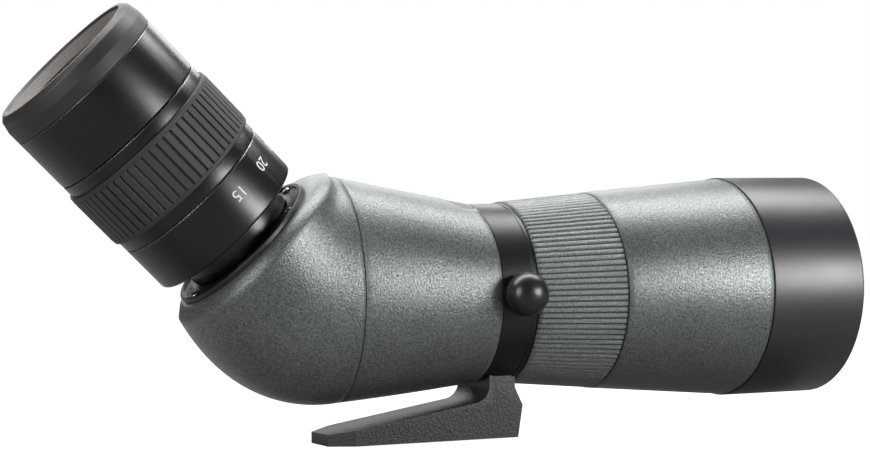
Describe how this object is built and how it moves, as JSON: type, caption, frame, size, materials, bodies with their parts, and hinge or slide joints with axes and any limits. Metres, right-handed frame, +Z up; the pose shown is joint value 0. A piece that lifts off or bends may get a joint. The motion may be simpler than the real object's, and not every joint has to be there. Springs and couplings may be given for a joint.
{
  "type": "spotting scope",
  "caption": "Angled spotting scope: prism housing, zoom eyepiece with twist-up cup, ribbed focus ring, sliding sunshade and a rotating tripod collar with foot.",
  "frame": {"origin": "centre of the tripod socket's mouth in the underside of the foot", "axes": "+X along the tube towards the objective, +Z up from the foot, +Y to the left seen from behind"},
  "size_m": [0.3011, 0.0827, 0.1477],
  "materials": {
    "body_paint": "fine textured paint, satin",
    "black_paint": "fine textured paint, satin",
    "shade_paint": "smooth satin paint",
    "foot_paint": "cast, grainy, satin",
    "black_anodised": "matt anodised",
    "steel": "blackened or bright",
    "lens_glass": "coated",
    "prism_glass": "polished",
    "grip_rubber": "ribbed, matt",
    "cup_rubber": "soft, matt",
    "seal_rubber": "soft",
    "felt": "short pile",
    "slip_plastic": "low friction"
  },
  "bodies": {
    "mount": {"tripod_foot": "foot_paint", "tripod_bush": "steel", "tripod_collar": "black_paint", "foot_screws": "steel"},
    "lock_shoe": {"lock_shoe": "slip_plastic"},
    "lock_knob": {"lock_knob": "black_paint", "lock_screw": "steel"},
    "scope_tube": {"main_tube": "black_anodised", "tube_nut": "black_anodised", "tube_baffle": "black_anodised", "badge_plate": "body_paint", "prism_housing": "body_paint", "prism_cover": "body_paint", "cover_seal": "seal_rubber", "prism_holder": "black_anodised", "roof_prism": "prism_glass", "prism_clamp": "steel", "prism_screws": "steel", "eyepiece_flange": "black_paint", "flange_screws": "steel", "front_barrel": "body_paint", "objective_cell": "black_anodised", "objective_rear_lens": "lens_glass", "objective_spacer": "black_anodised", "objective_front_lens": "lens_glass", "objective_ring": "black_anodised", "objective_seal": "seal_rubber"},
    "focus_ring": {"focus_ring": "body_paint"},
    "focus_cell": {"focus_cell": "black_anodised", "focus_pin": "steel", "focus_lens": "lens_glass", "focus_lens_ring": "black_anodised"},
    "sunshade": {"sunshade": "shade_paint", "sunshade_felt": "felt"},
    "eyepiece": {"eyepiece_bayonet": "black_paint", "eyepiece_base": "black_paint", "guide_tube": "black_anodised", "eye_lens_cell": "black_anodised", "eye_lens": "lens_glass", "eye_lens_ring": "black_anodised"},
    "zoom_ring": {"zoom_ring": "black_paint", "zoom_grip": "grip_rubber"},
    "zoom_front": {"zoom_carriage_front": "black_anodised", "zoom_lens_front": "lens_glass", "zoom_pin_front": "steel"},
    "zoom_rear": {"zoom_carriage_rear": "black_anodised", "zoom_lens_rear": "lens_glass", "zoom_pin_rear": "steel"},
    "eyecup_slip": {"eyecup_slip_ring": "slip_plastic"},
    "eyecup": {"eyecup_sleeve": "black_paint", "eyecup_rubber": "cup_rubber"}
  },
  "joints": [
    {"name": "scope_turn", "type": "hinge", "parent": "mount", "child": "scope_tube", "pos_m": [0, 0, 0.0501], "axis": [1, 0, 0], "continuous": true},
    {"name": "lock_shoe_slide", "type": "slide", "parent": "mount", "child": "lock_shoe", "axis": [0, -1, 0], "range_m": [0, 0.0007]},
    {"name": "lock_knob_turn", "type": "hinge", "parent": "lock_shoe", "child": "lock_knob", "pos_m": [0.02325, -0.035, 0.0501], "axis": [0, -1, 0], "range_deg": [0, 360]},
    {"name": "focus_turn", "type": "hinge", "parent": "scope_tube", "child": "focus_ring", "pos_m": [0, 0, 0.0501], "axis": [1, 0, 0], "range_deg": [-150, 150]},
    {"name": "focus_slide", "type": "slide", "parent": "scope_tube", "child": "focus_cell", "axis": [1, 0, 0], "range_m": [-0.0076, 0.0076]},
    {"name": "sunshade_slide", "type": "slide", "parent": "scope_tube", "child": "sunshade", "axis": [1, 0, 0], "range_m": [0, 0.022]},
    {"name": "eyepiece_twist", "type": "hinge", "parent": "scope_tube", "child": "eyepiece", "pos_m": [-0.0659, 0, 0.0697], "axis": [-0.7071, 0, 0.7071], "range_deg": [0, 45]},
    {"name": "zoom_turn", "type": "hinge", "parent": "eyepiece", "child": "zoom_ring", "pos_m": [-0.0659, 0, 0.0697], "axis": [-0.7071, 0, 0.7071], "range_deg": [0, 110]},
    {"name": "zoom_front_slide", "type": "slide", "parent": "eyepiece", "child": "zoom_front", "axis": [-0.7071, 0, 0.7071], "range_m": [0, 0.0091]},
    {"name": "zoom_rear_slide", "type": "slide", "parent": "eyepiece", "child": "zoom_rear", "axis": [-0.7071, 0, 0.7071], "range_m": [-0.0051, 0]},
    {"name": "eyecup_lift", "type": "slide", "parent": "eyepiece", "child": "eyecup_slip", "axis": [-0.7071, 0, 0.7071], "range_m": [0, 0.0081]},
    {"name": "eyecup_twist", "type": "hinge", "parent": "eyecup_slip", "child": "eyecup", "pos_m": [-0.0659, 0, 0.0697], "axis": [-0.7071, 0, 0.7071], "range_deg": [0, 90]}
  ],
  "couplings": [
    {"joint": "lock_shoe_slide", "follows": "lock_knob_turn", "m_per_rad": 0.0001113},
    {"joint": "focus_slide", "follows": "focus_turn", "m_per_rad": -0.0028648},
    {"joint": "zoom_front_slide", "follows": "zoom_turn", "m_per_rad": 0.0046878},
    {"joint": "zoom_rear_slide", "follows": "zoom_turn", "m_per_rad": -0.0026044},
    {"joint": "eyecup_lift", "follows": "eyecup_twist", "m_per_rad": 0.005093}
  ]
}
